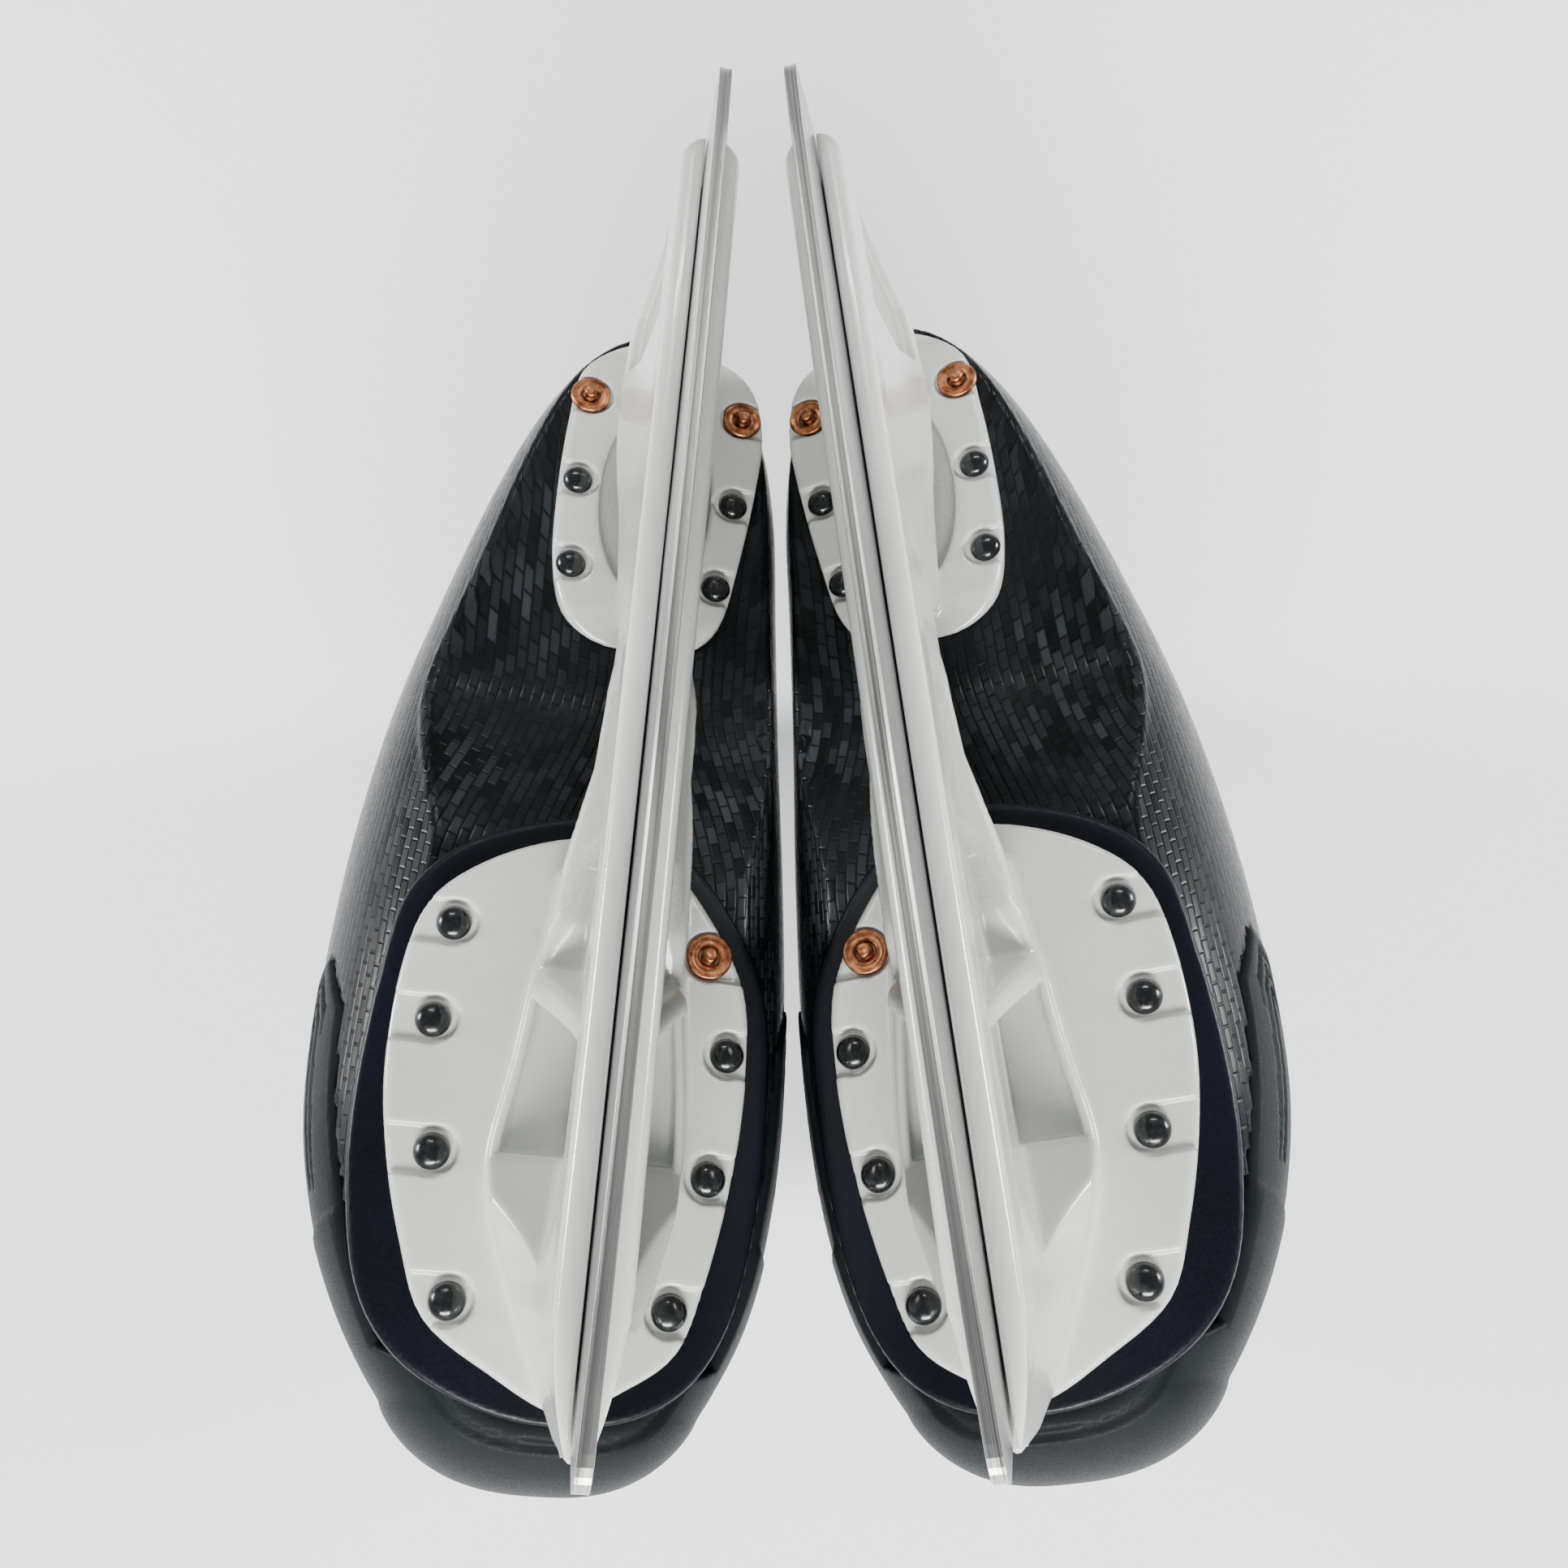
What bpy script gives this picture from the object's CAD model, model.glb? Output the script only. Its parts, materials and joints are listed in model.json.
import json
import math
import bpy
import numpy as np
from mathutils import Matrix, Vector


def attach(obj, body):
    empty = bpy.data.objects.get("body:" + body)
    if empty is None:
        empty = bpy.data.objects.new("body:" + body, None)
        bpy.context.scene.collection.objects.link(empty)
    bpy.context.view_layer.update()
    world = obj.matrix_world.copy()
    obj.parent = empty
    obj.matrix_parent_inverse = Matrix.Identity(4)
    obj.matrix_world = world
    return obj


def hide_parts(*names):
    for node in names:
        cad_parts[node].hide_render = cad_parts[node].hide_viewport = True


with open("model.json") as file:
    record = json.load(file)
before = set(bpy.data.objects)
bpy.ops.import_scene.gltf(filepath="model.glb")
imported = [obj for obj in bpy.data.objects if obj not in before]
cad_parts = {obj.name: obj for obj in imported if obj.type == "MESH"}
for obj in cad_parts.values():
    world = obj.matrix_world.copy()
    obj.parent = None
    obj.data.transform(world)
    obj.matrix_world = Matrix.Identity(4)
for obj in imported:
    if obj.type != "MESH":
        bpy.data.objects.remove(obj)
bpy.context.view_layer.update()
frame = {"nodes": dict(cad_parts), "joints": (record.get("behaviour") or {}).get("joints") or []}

# A pair of hockey skates standing on their cuffs, blades up. Each piece is made once in
# a left skate's own frame, in millimetres: X across with the outer side at -X, +Y from
# toe to heel, +Z from the boot towards the ice, Z = 0 the ice, Y = 0 mid runner. It is
# then set in the row frame, in metres, and mirrored for the right skate.
MM = 0.001
ROLL = math.radians(14.45)
YAW = math.radians(4.8)
PITCH = math.radians(4.0)
HALF_SPACING = 18.3

# ---- sizes shared with the CAD ----
RUNNER_HALF = 1.45
RAIL_HALF = 7.0
RAIL_TOP = -17.5
RAIL_BOTTOM = -30.0
FRONT_PLATE = -62.0
HEEL_PLATE = -74.0
FRONT_PLATE_THICK = 3.2
HEEL_PLATE_THICK = 5.5
FRONT_SOLE = -67.7
HEEL_SOLE = -79.5
OUTSOLE_TOP = -65.2
SHELL_WALL = 3.0
SOLE_WALL = 3.5
RIM_Z = -266.0
RIM_DIP = 24.0
ROCKER_RADIUS = 2800.0
SEAT_DEPTH = 1.2
BURR_R = 5.0
THROAT_TOE = (-98.0, -112.0)
THROAT_TOP = (22.0, -280.0)
TONGUE_ROOT = Vector((0, -86, -132))
TONGUE_TOP = Vector((0, -14, -271))
TONGUE_THICK = 7.0
EYELET_TOE = (-68.0, -141.0)
EYELET_TOP = (0.0, -256.0)
EYELETS_PER_SIDE = 9
EYELET_HOLE_R = 2.3

# Rivets and outlines as (outward from the blade, towards the heel).
FRONT_RIVETS = [(33.5, -44), (34.8, -65), (31.2, -91.5), (24.2, -119.5),
                (-27.0, -66), (-25.0, -92), (-19.3, -118.5)]
HEEL_RIVETS = [(19.8, 77.5), (18.8, 53.5), (-19.8, 77.5), (-17.2, 53)]
FRONT_COPPER = [(-21.4, -45)]
HEEL_COPPER = [(19.4, 103), (-20.2, 103.5)]
HEEL_PLATE_OUTLINE = [(0, 123), (12, 120.5), (22, 111), (24, 96), (24.5, 76), (23.5, 56),
                      (19.5, 41.5), (10, 34.5), (0, 33), (-11, 35), (-19, 43),
                      (-22.5, 60), (-25.5, 84), (-26, 102), (-22, 114.5), (-13, 121)]
FRONT_PLATE_OUTLINE = [(0, -21), (14, -22.5), (29, -29.5), (39.5, -40), (43, -56), (43, -76),
                       (40, -93), (35, -109), (28.5, -123), (15, -132), (0, -138.6),
                       (-12, -133.5), (-21.5, -126), (-26, -113), (-30, -92), (-31.5, -70),
                       (-29.5, -51), (-21, -36), (-11, -25)]
OUTSOLE_OUTLINE = [(0, -15), (16, -17), (34, -25), (44.5, -38), (47.5, -58), (48.5, -78),
                   (47.5, -96), (42.5, -117), (33, -130), (18, -138), (2, -141),
                   (-14, -139), (-26, -131), (-33, -117), (-36.5, -96), (-37, -74),
                   (-35, -52), (-26, -34), (-13, -20)]
HOLDER_SIDE = [(140, -26), (137, -30), (124, -58), (118, -75), (38, -75), (33, -62), (25, -51),
               (12, -45.5), (0, -44), (-12, -45), (-24, -50), (-31, -63), (-137, -63),
               (-144, -45), (-147, -30), (-147, -26)]

# Boot: station, half width outside, half width inside, sole-side and instep-side limits.
FOOT_STATIONS = [
    (-151.5, 12, 15, -77, -112), (-148.5, 20, 20, -71, -119), (-143, 29, 26, -67, -125),
    (-133, 38, 32.5, -64, -130), (-119, 47, 39, -62, -135), (-102, 54.5, 43, -60.5, -138),
    (-80, 60, 45.5, -60, -146), (-50, 62, 46, -60, -158), (-15, 61, 44, -61.5, -164),
    (20, 57, 41, -64, -166), (55, 49.5, 38.5, -67, -166), (85, 41.5, 36, -68, -164),
    (108, 33, 31, -70, -160), (124, 23.5, 23.5, -76, -152), (133, 14.5, 14.5, -86, -143),
    (137, 7, 7, -97, -133)]
FOOT_SQUARENESS = 2.6
# Cuff: height, front, back, half width outside, half width inside.
CUFF_STATIONS = [
    (-284, -8, 114, 43, 40.5), (-262, -22, 113.5, 42, 39.5), (-240, -36, 114.5, 41, 38.5),
    (-215, -52, 117.5, 41, 38), (-190, -68, 124, 43, 38.5), (-165, -83, 132, 45, 38),
    (-138, -95, 138, 46, 37.5), (-108, -90, 134, 42, 35)]
CUFF_SQUARENESS = 2.25


# ---- placing ----
def tongue_axes():
    """Unit vectors up the tongue and out of its face."""
    along = (TONGUE_TOP - TONGUE_ROOT).normalized()
    return along, Vector((0, along.z, -along.y))


def left_placement():
    """From a left skate's own frame to the row frame; the tongue's hinge fixes the shift."""
    turn = (Matrix.Rotation(-PITCH, 4, "X") @ Matrix.Translation((-HALF_SPACING, 0, 0))
            @ Matrix.Rotation(-YAW, 4, "Z") @ Matrix.Rotation(ROLL, 4, "Y"))
    hinge = TONGUE_ROOT + tongue_axes()[1] * TONGUE_THICK
    joint = next(j for j in frame["joints"] if j["name"] == "left_tongue_flex")
    shift = Vector(joint["pos_m"]) - MM * (turn @ hinge)
    return Matrix.Translation(shift) @ Matrix.Scale(MM, 4) @ turn


LEFT = left_placement()
PLACES = {"left": LEFT, "right": Matrix.Scale(-1, 4, (1, 0, 0)) @ LEFT}
# The right skate's materials are read elsewhere in the noise, so the pair doesn't mirror.
GRAIN_SHIFT = {"left": (0, 0, 0), "right": (137.0, 261.0, 0)}


def moved(points, matrix):
    turn = np.array(matrix)
    return points @ turn[:3, :3].T + turn[:3, 3]


def mesh_object(name, points, faces, smooth=True):
    mesh = bpy.data.meshes.new(name)
    mesh.from_pydata(points.tolist(), [], [list(f) for f in faces])
    mesh.polygons.foreach_set("use_smooth", [smooth] * len(mesh.polygons))
    mesh.update()
    piece = bpy.data.objects.new(name, mesh)
    bpy.context.scene.collection.objects.link(piece)
    return piece


def add_place_layer(piece, name, points):
    """Store one place per vertex, in millimetres, for the materials to read."""
    layer = piece.data.attributes.new(name, "FLOAT_VECTOR", "POINT")
    layer.data.foreach_set("vector", points.astype(np.float32).ravel())


def add_pair(name, points, faces, material, part_body, nodes, mask=None, smooth=True):
    """The piece on both skates. Its own-frame place is kept in 'grain' for the materials."""
    made = {}
    for side, place in PLACES.items():
        order = faces if side == "left" else [tuple(f)[::-1] for f in faces]
        piece = mesh_object(side + "_" + name, moved(points, place), order, smooth)
        add_place_layer(piece, "grain", points + np.array(GRAIN_SHIFT[side]))
        values = np.zeros(len(points)) if mask is None else mask
        layer = piece.data.attributes.new("mask", "FLOAT", "POINT")
        layer.data.foreach_set("value", values.astype(np.float32))
        piece.data.materials.append(material)
        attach(piece, part_body.format(side=side))
        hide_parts(*[side + "_" + node for node in nodes])
        made[side] = piece
    return made


# ---- solids as fields: negative inside ----
def merged(a, b, soft):
    """Union of two fields with a fillet."""
    share = np.clip(0.5 + 0.5 * (b - a) / soft, 0, 1)
    return b + (a - b) * share - soft * share * (1 - share)


def common(a, b, soft):
    return -merged(-a, -b, soft)


def cut(a, b, soft):
    return common(a, -b, soft)


def smooth_points(points, closed, steps=5):
    """Catmull-Rom curve through points."""
    p = np.array(points, float)
    if closed:
        p = np.vstack([p[-1:], p, p[:2]])
    else:
        p = np.vstack([2 * p[:1] - p[1:2], p, 2 * p[-1:] - p[-2:-1]])
    found = []
    for a, b, c, d in zip(p[:-3], p[1:-2], p[2:-1], p[3:]):
        for t in np.arange(steps) / steps:
            found.append(0.5 * (2 * b + (c - a) * t + (2 * a - 5 * b + 4 * c - d) * t ** 2
                                + (3 * b - a - 3 * c + d) * t ** 3))
    if not closed:
        found.append(p[-2])
    return np.array(found)


def smooth_table(rows):
    """Columns of a table as smooth functions of its first column."""
    rows = smooth_points(sorted(rows), closed=False)
    keys = rows[:, 0]
    return [lambda where, column=column: np.interp(where, keys, column)
            for column in rows[:, 1:].T]


def loop_distance(p, q, corners):
    """Signed distance from a closed loop of corners in the (p, q) plane."""
    shape = np.broadcast_shapes(np.shape(p), np.shape(q))
    p = np.broadcast_to(p, shape).ravel()
    q = np.broadcast_to(q, shape).ravel()
    nearest = np.full(p.shape, 1e12)
    inside = np.zeros(p.shape, bool)
    for (a, b), (c, d) in zip(corners, np.roll(corners, -1, axis=0)):
        along, up = c - a, d - b
        t = np.clip(((p - a) * along + (q - b) * up) / (along ** 2 + up ** 2), 0, 1)
        nearest = np.minimum(nearest, (p - a - t * along) ** 2 + (q - b - t * up) ** 2)
        if up != 0:
            inside ^= ((b > q) != (d > q)) & (p < along * (q - b) / up + a)
    return (np.where(inside, -1, 1) * np.sqrt(nearest)).reshape(shape)


NEWTON_ROUNDS = 2
LEAST_SLOPE_SQUARED = 0.2


def surface_net(solid, low, high, step):
    """Quads round the region where solid(x, y, z) is negative, drawn onto its surface."""
    axes = [np.arange(a, b + step, step) for a, b in zip(low, high)]
    field = solid(axes[0][:, None, None], axes[1][None, :, None], axes[2][None, None, :])
    field = np.ascontiguousarray(np.broadcast_to(field, [len(a) for a in axes]), np.float32)
    inside = field < 0
    cells = [len(a) - 1 for a in axes]
    corners = [np.array((i, j, k)) for i in (0, 1) for j in (0, 1) for k in (0, 1)]
    count = sum(inside[i:i + cells[0], j:j + cells[1], k:k + cells[2]].astype(np.int8)
                for i, j, k in corners)
    active = (count > 0) & (count < 8)
    index = np.full(active.shape, -1, np.int64)
    index[active] = np.arange(active.sum())
    where = np.argwhere(active)
    total = np.zeros((len(where), 3))
    hits = np.zeros((len(where), 1))
    for a in corners:
        for b in corners:
            if (b - a).sum() == 1 and (b >= a).all():
                fa = field[tuple((where + a).T)]
                fb = field[tuple((where + b).T)]
                crossing = (fa < 0) != (fb < 0)
                t = np.where(crossing, fa / np.where(crossing, fa - fb, 1), 0)[:, None]
                total += crossing[:, None] * (a + t * (b - a))
                hits += crossing[:, None]
    points = (where + total / hits) * step + np.array([a[0] for a in axes])
    slopes = np.stack([g[tuple(where.T)] for g in np.gradient(field, step)], axis=1)
    size = np.maximum((slopes ** 2).sum(axis=1), LEAST_SLOPE_SQUARED)
    for _ in range(NEWTON_ROUNDS):
        off = solid(points[:, 0], points[:, 1], points[:, 2])
        points -= slopes * np.clip(off / size, -step / 2, step / 2)[:, None]
    return points, net_faces(inside, index, cells)


def net_faces(inside, index, cells):
    """One quad across every grid edge whose ends differ."""
    quads = []
    for axis in range(3):
        one, two = [(1, 2), (2, 0), (0, 1)][axis]
        low = [slice(1, cells[k]) for k in range(3)]
        low[axis] = slice(0, cells[axis])
        high = list(low)
        high[axis] = slice(1, cells[axis] + 1)
        first = inside[tuple(low)]
        second = inside[tuple(high)]
        start = np.array([1, 1, 1])
        start[axis] = 0
        for chosen, flip in ((first & ~second, False), (~first & second, True)):
            at = np.argwhere(chosen) + start
            back_one = np.eye(3, dtype=int)[one]
            back_two = np.eye(3, dtype=int)[two]
            ring = [at, at - back_one, at - back_one - back_two, at - back_two]
            quad = np.stack([index[tuple(r.T)] for r in ring], axis=1)
            quads.append(quad[:, ::-1] if not flip else quad)
    return np.vstack(quads)[:, ::-1]


# ---- materials ----
class Nodes:
    """Short calls for one material's nodes."""

    def __init__(self, name):
        self.material = bpy.data.materials.new(name)
        self.material.use_nodes = True
        self.tree = self.material.node_tree
        self.shader = self.tree.nodes["Principled BSDF"]

    def add(self, kind, **values):
        """A node with its settings; a name that isn't a setting is an input socket."""
        node = self.tree.nodes.new(kind)
        for key, value in values.items():
            if hasattr(node, key):
                setattr(node, key, value)
            else:
                node.inputs[key.replace("_", " ")].default_value = value
        return node

    def link(self, output, socket):
        self.tree.links.new(output, socket)

    def scaled(self, source, scale):
        mapping = self.add("ShaderNodeMapping", Scale=scale)
        self.link(source, mapping.inputs["Vector"])
        return mapping.outputs["Vector"]

    def place(self, scale=(1, 1, 1)):
        """The piece's own-frame place, in millimetres, scaled."""
        source = self.add("ShaderNodeAttribute", attribute_name="grain")
        return self.scaled(source.outputs["Vector"], scale)

    def mask(self):
        return self.add("ShaderNodeAttribute", attribute_name="mask").outputs["Fac"]

    def world_place(self, scale):
        """Object coordinates for a piece that carries no 'grain'."""
        source = self.add("ShaderNodeTexCoord")
        return self.scaled(source.outputs["Object"], (scale, scale, scale))

    def noise(self, vector, scale, detail=3.0):
        node = self.add("ShaderNodeTexNoise", Scale=scale, Detail=detail)
        self.link(vector, node.inputs["Vector"])
        return node.outputs["Fac"]

    def ramp(self, value, low, high, at=(0.35, 0.65)):
        """Colour ramp between two colours or greys."""
        node = self.add("ShaderNodeValToRGB")
        for element, colour, position in zip(node.color_ramp.elements, (low, high), at):
            grey = isinstance(colour, (int, float))
            element.color = (colour, colour, colour, 1) if grey else (*colour, 1)
            element.position = position
        self.link(value, node.inputs["Fac"])
        return node.outputs["Color"]

    def mixed(self, share, first, second):
        """Colour mix of two outputs by a share output."""
        node = self.add("ShaderNodeMix", data_type="RGBA")
        self.link(share, node.inputs[0])
        self.link(first, node.inputs[6])
        self.link(second, node.inputs[7])
        return node.outputs[2]

    def bump(self, height, strength, distance, under=None):
        node = self.add("ShaderNodeBump", Strength=strength, Distance=distance)
        self.link(height, node.inputs["Height"])
        if under is not None:
            self.link(under, node.inputs["Normal"])
        return node.outputs["Normal"]

    def finish(self, colour=None, roughness=None, normal=None, coat_normal=None, **sockets):
        links = {"Base Color": colour, "Roughness": roughness, "Normal": normal,
                 "Coat Normal": coat_normal}
        for socket, output in links.items():
            if output is not None:
                self.link(output, self.shader.inputs[socket])
        for socket, value in sockets.items():
            self.shader.inputs[socket.replace("_", " ")].default_value = value
        return self.material


def white_plastic():
    """Glossy white moulding; the recessed flanks (mask 1) are matte and slightly grey."""
    n = Nodes("white_plastic")
    broad = n.noise(n.place((0.02, 0.02, 0.02)), 1.0, 4)
    fine = n.noise(n.place(), 1.9, 2)
    glossy = n.ramp(broad, (0.52, 0.53, 0.50), (0.59, 0.60, 0.57))
    matte = n.ramp(fine, (0.31, 0.32, 0.29), (0.39, 0.40, 0.365))
    colour = n.mixed(n.mask(), glossy, matte)
    roughness = n.mixed(n.mask(), n.ramp(broad, 0.17, 0.24), n.ramp(fine, 0.5, 0.62))
    grain = n.bump(fine, 0.18, 0.00018)
    return n.finish(colour, roughness, grain, Coat_Weight=0.35, Coat_Roughness=0.07)


def carbon_weave():
    """Clear-coated black weave: staggered tows in several tones, with fibres along them."""
    n = Nodes("carbon_weave")
    source = n.add("ShaderNodeAttribute", attribute_name="weave")
    drift = n.noise(n.place((0.012, 0.012, 0.012)), 1.0, 2)
    sway = n.add("ShaderNodeVectorMath", operation="MULTIPLY")
    sway.inputs[1].default_value = (9, 6, 0)
    n.link(drift, sway.inputs[0])
    along = n.add("ShaderNodeVectorMath", operation="ADD")
    n.link(source.outputs["Vector"], along.inputs[0])
    n.link(sway.outputs[0], along.inputs[1])
    tows = n.add("ShaderNodeTexBrick", offset=0.5, offset_frequency=2, Scale=1.0, Brick_Width=5.0,
                 Row_Height=2.5, Mortar_Size=0.5, Mortar_Smooth=1.0, Bias=-0.15,
                 Color1=(0.002, 0.0025, 0.003, 1), Color2=(0.030, 0.035, 0.040, 1),
                 Mortar=(0.001, 0.001, 0.001, 1))
    n.link(along.outputs[0], tows.inputs["Vector"])
    fibres = n.add("ShaderNodeTexWave", wave_type="BANDS", bands_direction="Y", Scale=1.4,
                   Distortion=0.6)
    n.link(along.outputs[0], fibres.inputs["Vector"])
    patches = n.ramp(n.noise(n.place((0.03, 0.03, 0.03)), 1.0, 3), 0.0, 1.0)
    dark = n.ramp(fibres.outputs["Fac"], (0.002, 0.0025, 0.003), (0.006, 0.007, 0.008))
    colour = n.mixed(patches, tows.outputs["Color"], dark)
    roughness = n.ramp(tows.outputs["Color"], 0.30, 0.50, (0.0, 0.03))
    relief = n.ramp(tows.outputs["Fac"], 1.0, 0.0, (0.0, 1.0))
    fibre_bump = n.bump(fibres.outputs["Fac"], 0.12, 0.0001, n.bump(relief, 0.4, 0.0003))
    coat = n.bump(relief, 0.25, 0.0002)
    return n.finish(colour, roughness, fibre_bump, coat, Coat_Weight=0.25, Coat_Roughness=0.14,
                    Coat_IOR=1.25, Specular_IOR_Level=0.1)


def moulded(name, low, high, roughness=(0.42, 0.55), grain=2.2, depth=0.0002, **sockets):
    """Moulded plastic or rubber with a fine grain and slow tone changes."""
    n = Nodes(name)
    broad = n.noise(n.place((0.03, 0.03, 0.03)), 1.0, 4)
    fine = n.noise(n.place(), grain, 3)
    return n.finish(n.ramp(broad, low, high), n.ramp(fine, *roughness), n.bump(fine, 0.25, depth),
                    **sockets)


def ground_steel():
    """Runner steel: the edge (mask 1) has lengthwise grinding marks, the sides are polished."""
    n = Nodes("ground_steel")
    streaks = n.noise(n.place((11.0, 0.006, 0.02)), 1.0, 1)
    clouds = n.noise(n.place((0.05, 0.016, 0.05)), 1.0, 1)
    edge = n.ramp(streaks, (0.27, 0.27, 0.26), (0.55, 0.545, 0.52))
    side = n.ramp(clouds, (0.34, 0.34, 0.38), (0.50, 0.50, 0.54))
    colour = n.mixed(n.mask(), side, edge)
    roughness = n.mixed(n.mask(), n.ramp(clouds, 0.08, 0.16), n.ramp(streaks, 0.28, 0.42))
    return n.finish(colour, roughness, n.bump(streaks, 0.10, 0.00005), Metallic=1.0,
                    Anisotropic=0.5)


def bare_metal(name, low, high, roughness, own_frame=True):
    """Small metal parts with tarnish and fine scratches."""
    n = Nodes(name)
    place = n.place() if own_frame else n.world_place(1000.0)
    tarnish = n.noise(place, 0.55, 5)
    scratches = n.noise(place, 3.1, 4)
    return n.finish(n.ramp(tarnish, low, high), n.ramp(scratches, *roughness),
                    n.bump(scratches, 0.3, 0.0001), Metallic=1.0)


def painted(name, tone, roughness, own_frame=True):
    """Black paint over metal, a little worn."""
    n = Nodes(name)
    place = n.place() if own_frame else n.world_place(1000.0)
    wear = n.noise(place, 0.8, 5)
    light = tuple(2.0 * c for c in tone)
    return n.finish(n.ramp(wear, tone, light, (0.45, 0.8)), n.ramp(wear, *roughness),
                    n.bump(wear, 0.08, 0.00005), Coat_Weight=0.35, Coat_Roughness=0.12,
                    Specular_IOR_Level=0.4)


def knit(name, low, high, pitch, depth):
    """Fabric: two crossing sets of yarns, with fine unevenness over them."""
    n = Nodes(name)
    place = n.place()
    yarns = []
    for direction in ("X", "DIAGONAL"):
        wave = n.add("ShaderNodeTexWave", wave_type="BANDS", bands_direction=direction,
                     Scale=1.0 / pitch, Distortion=1.2, Detail=1.0)
        n.link(place, wave.inputs["Vector"])
        yarns.append(wave.outputs["Fac"])
    crossing = n.mixed(n.noise(place, 0.4, 2), yarns[0], yarns[1])
    fuzz = n.noise(place, 2.5, 4)
    under = n.bump(crossing, 0.6, depth)
    return n.finish(n.ramp(crossing, low, high), n.ramp(fuzz, 0.8, 0.95),
                    n.bump(fuzz, 0.3, depth, under), Sheen_Weight=0.35, Sheen_Roughness=0.5)


MATERIALS = {
    "white": white_plastic(),
    "carbon": carbon_weave(),
    "cap": moulded("cap_plastic", (0.005, 0.0066, 0.0072), (0.010, 0.0125, 0.0135), (0.46, 0.6),
                   Specular_IOR_Level=0.1),
    "outsole": moulded("outsole_rubber", (0.0016, 0.002, 0.0045), (0.003, 0.0036, 0.008),
                       (0.32, 0.44), 1.5, 0.0001, Specular_IOR_Level=0.2),
    "guard": moulded("guard_plastic", (0.008, 0.009, 0.010), (0.018, 0.020, 0.022)),
    "steel": ground_steel(),
    "black": painted("black_rivet", (0.004, 0.0045, 0.005), (0.16, 0.34)),
    "copper": bare_metal("copper", (0.20, 0.062, 0.025), (0.62, 0.27, 0.13), (0.28, 0.5)),
    "eyelet": painted("eyelet_black", (0.010, 0.010, 0.011), (0.2, 0.4), own_frame=False),
    "plated": bare_metal("plated_steel", (0.42, 0.41, 0.38), (0.66, 0.65, 0.62), (0.2, 0.4),
                         own_frame=False),
    "liner": knit("liner_fabric", (0.012, 0.013, 0.015), (0.060, 0.062, 0.068), 1.4, 0.0003),
    "tongue": knit("tongue_felt", (0.010, 0.011, 0.012), (0.045, 0.047, 0.052), 2.2, 0.0004),
    "footbed": knit("footbed_foam", (0.03, 0.032, 0.036), (0.11, 0.115, 0.125), 1.8, 0.0003),
}


# ---- holder ----
OUTSOLE_LOOP = smooth_points(OUTSOLE_OUTLINE, True)
PLATE_LOOPS = {"front": smooth_points(FRONT_PLATE_OUTLINE, True),
               "heel": smooth_points(HEEL_PLATE_OUTLINE, True)}
RAIL_PLAN = smooth_table([(-148, 0.2), (-146.5, 1.5), (-143, 2.9), (-138, 4.3), (-132, 5.5),
                          (-125, 6.4), (-117, 7), (-60, 7), (134, 7), (141, 7)])[0]
RAIL_HEEL_Y = 134.0
RAIL_TOE_Y = -148.0
RAIL_TOP_ROUND = 3.4
RAIL_FOOT_ROUND = 1.6
# Half width of the towers and bridge at their foot, on the outer and the inner side.
FOOT_OUTER = smooth_table([(-148, 1.5), (-137, 4.2), (-127, 8.5), (-117, 13), (-106, 17.3),
                           (-98, 19.3), (-89, 20), (-72, 17.4), (-56, 15.8), (-43, 14),
                           (-31, 12.6), (-21, 11), (-3, 9), (14, 7.8), (27, 7.3), (43, 7.4),
                           (54, 8.2), (65, 9.2), (76, 10.8), (89, 12), (104, 12), (118, 11.2),
                           (128, 9), (141, 6)])[0]
FOOT_INNER = smooth_table([(-148, 1.5), (-140, 4.2), (-133, 8), (-125, 11.3), (-115, 14.6),
                           (-102, 17.4), (-91, 19), (-79, 18.6), (-65, 17.2), (-51, 15.6),
                           (-39, 15), (-27, 14), (-2, 12), (24, 9.6), (43, 8.2), (54, 8.4),
                           (65, 9.4), (76, 10.8), (89, 12), (104, 12), (118, 11.2), (128, 9),
                           (141, 6)])[0]
# Where that foot is in Z, and the half width just under the rail.
FOOT_LEVEL = smooth_table([(-148, -50), (-100, -53), (-60, -54), (-42, -54), (-24, -48),
                           (0, -43), (12, -45), (25, -52), (38, -64), (50, -66), (120, -66),
                           (141, -60)])[0]
NECK = smooth_table([(-148, 0.2), (-144, 2.0), (-138, 3.8), (-131, 5.2), (-120, 6.4), (-60, 6.4),
                     (-52, 5.4), (-44, 4.9), (18, 4.9), (30, 5.6), (42, 6.4), (90, 6.4),
                     (128, 6.6), (134, 5.6), (138, 3.6), (141, 0.5)])[0]
WEB_HALF = 4.7
TOE_POCKET = np.array([(-57, -60), (-73.5, -32.5), (-122, -32.5), (-92, -60)], float)
TOE_POCKET_FLOOR = np.array([(-59, -63.4), (-58, -57), (-92, -57), (-90, -63.4)], float)
BRIDGE_POCKET = np.array([(-30, -31.5), (-70, -31.5), (-53, -57.5), (-44, -51), (-34, -45)], float)
HEEL_POCKET = np.array([(131, -34), (119, -60), (104, -63), (97, -48), (100, -34)], float)
HEEL_BEVEL_Y = 41.5
HEEL_BEVEL_SLOPE = 0.68
HEEL_POCKET_DEPTH = 2.2
FLANGE_Z = -67.5
FLANGE_STEP = 2.2
CRESCENT_Y = 76.0
CRESCENT_HALF_X = 14.0
CRESCENT_HALF_Y = 29.0
CRESCENT_DEPTH = 2.4
DOME_SEAT_R = BURR_R + 0.1
COPPER_SEAT_R = BURR_R + 0.6
SEAT_ROUND = 0.7
SLOT_GAP = 0.35
SLOT_FLOOR = -30.3


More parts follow.
